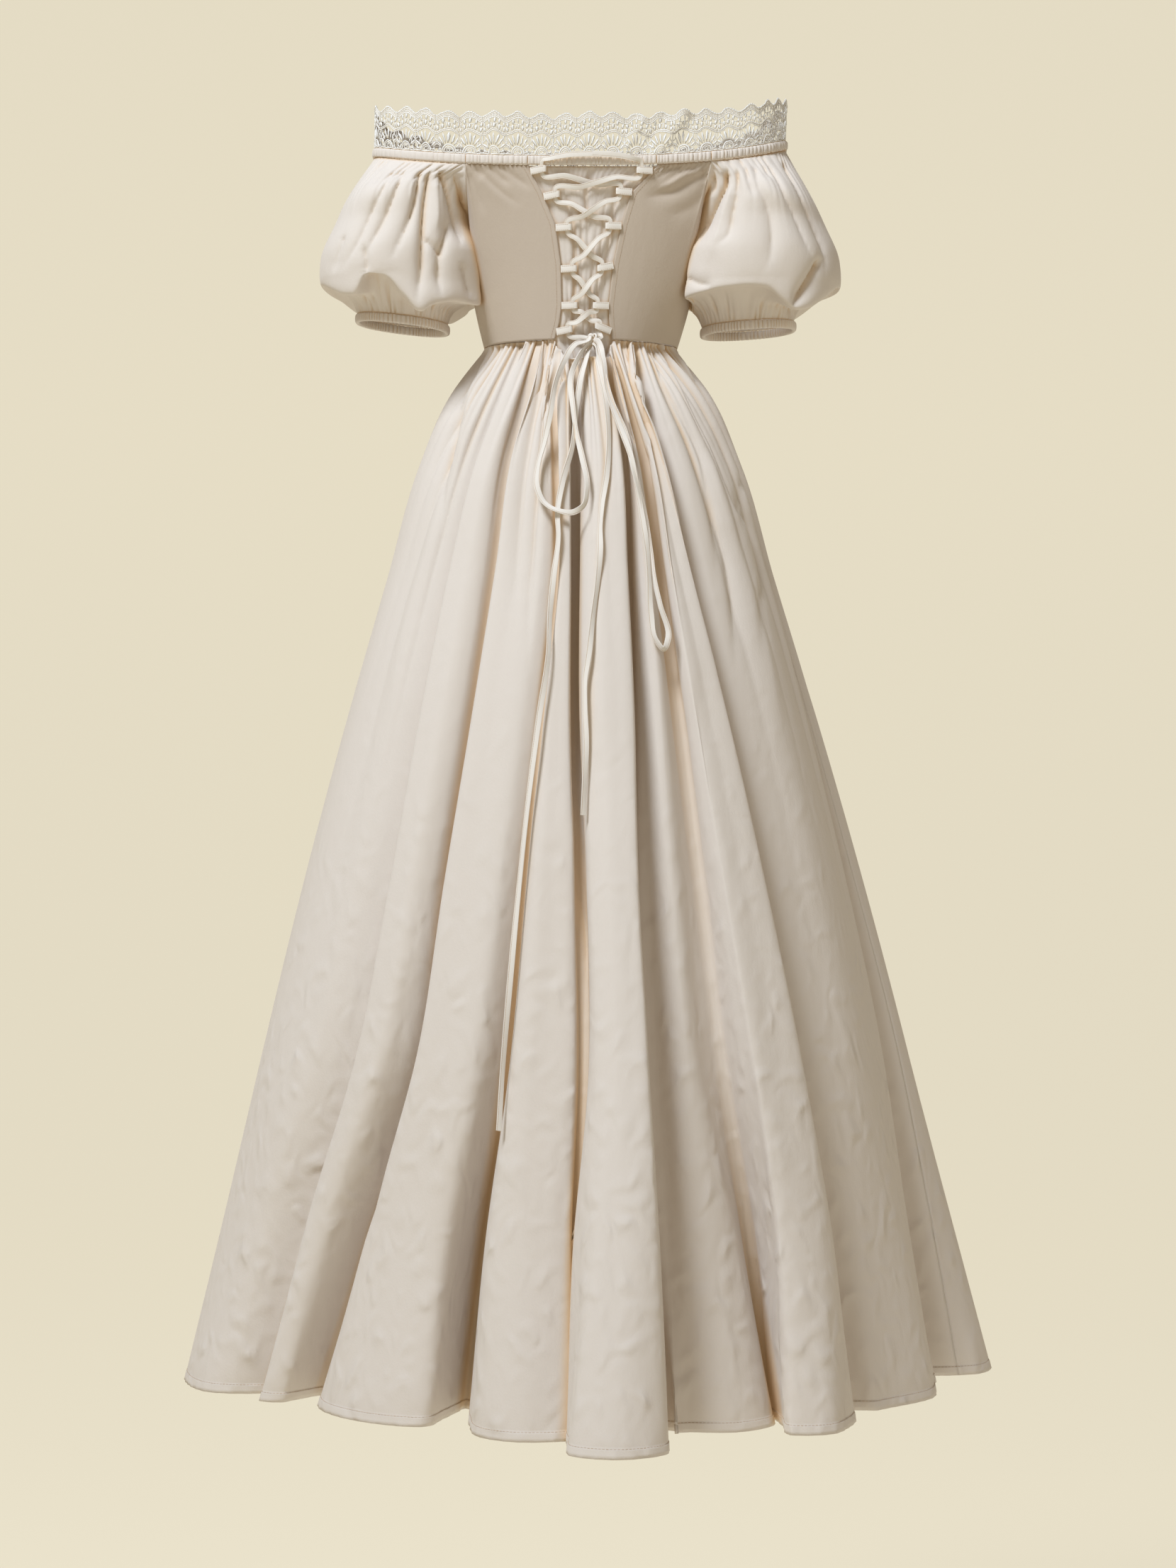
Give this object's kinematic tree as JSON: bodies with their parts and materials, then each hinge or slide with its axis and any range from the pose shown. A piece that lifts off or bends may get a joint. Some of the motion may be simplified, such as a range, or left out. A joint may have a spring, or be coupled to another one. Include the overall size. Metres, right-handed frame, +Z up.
{
  "type": "off-shoulder maxi dress",
  "caption": "Hollow worn-form cotton maxi dress with a standing lace neckline, puff sleeves, a laced-up back with a bow and a full gathered skirt.",
  "frame": {"origin": "the middle of the neckline ring at the level of its casing, where the elastic grips the wearer round the upper arms and chest", "axes": "+Z up along the wearer, +Y to the wearer's front, +X to the wearer's right"},
  "size_m": [0.8915, 0.9648, 1.4091],
  "materials": {
    "cotton": "matte plain-weave cotton, unbleached cream",
    "lace": "matte crochet cotton lace, white",
    "tie": "matte flat stitched cotton tie, unbleached cream"
  },
  "bodies": {
    "root": {"bodice_back_left": "cotton", "bodice_back_right": "cotton", "bodice_front": "cotton", "modesty_panel": "cotton", "modesty_casing": "cotton", "casing_back_left": "cotton", "casing_back_right": "cotton", "casing_sleeve_left": "cotton", "casing_sleeve_right": "cotton", "casing_front": "cotton", "sleeve_left": "cotton", "sleeve_right": "cotton", "cuff_left": "cotton", "cuff_right": "cotton", "skirt_front": "cotton", "skirt_back": "cotton", "lace_back_right": "lace", "lace_front_left": "lace", "loop_left_0": "tie", "loop_left_1": "tie", "loop_left_2": "tie", "loop_left_3": "tie", "loop_left_4": "tie", "loop_left_5": "tie", "loop_right_0": "tie", "loop_right_1": "tie", "loop_right_2": "tie", "loop_right_3": "tie", "loop_right_4": "tie", "loop_right_5": "tie", "lacing_left": "tie", "lacing_right": "tie", "bow_knot": "tie", "bow_loop_left": "tie", "bow_loop_right": "tie", "tie_end_left": "tie", "tie_end_right": "tie"}
  },
  "joints": []
}
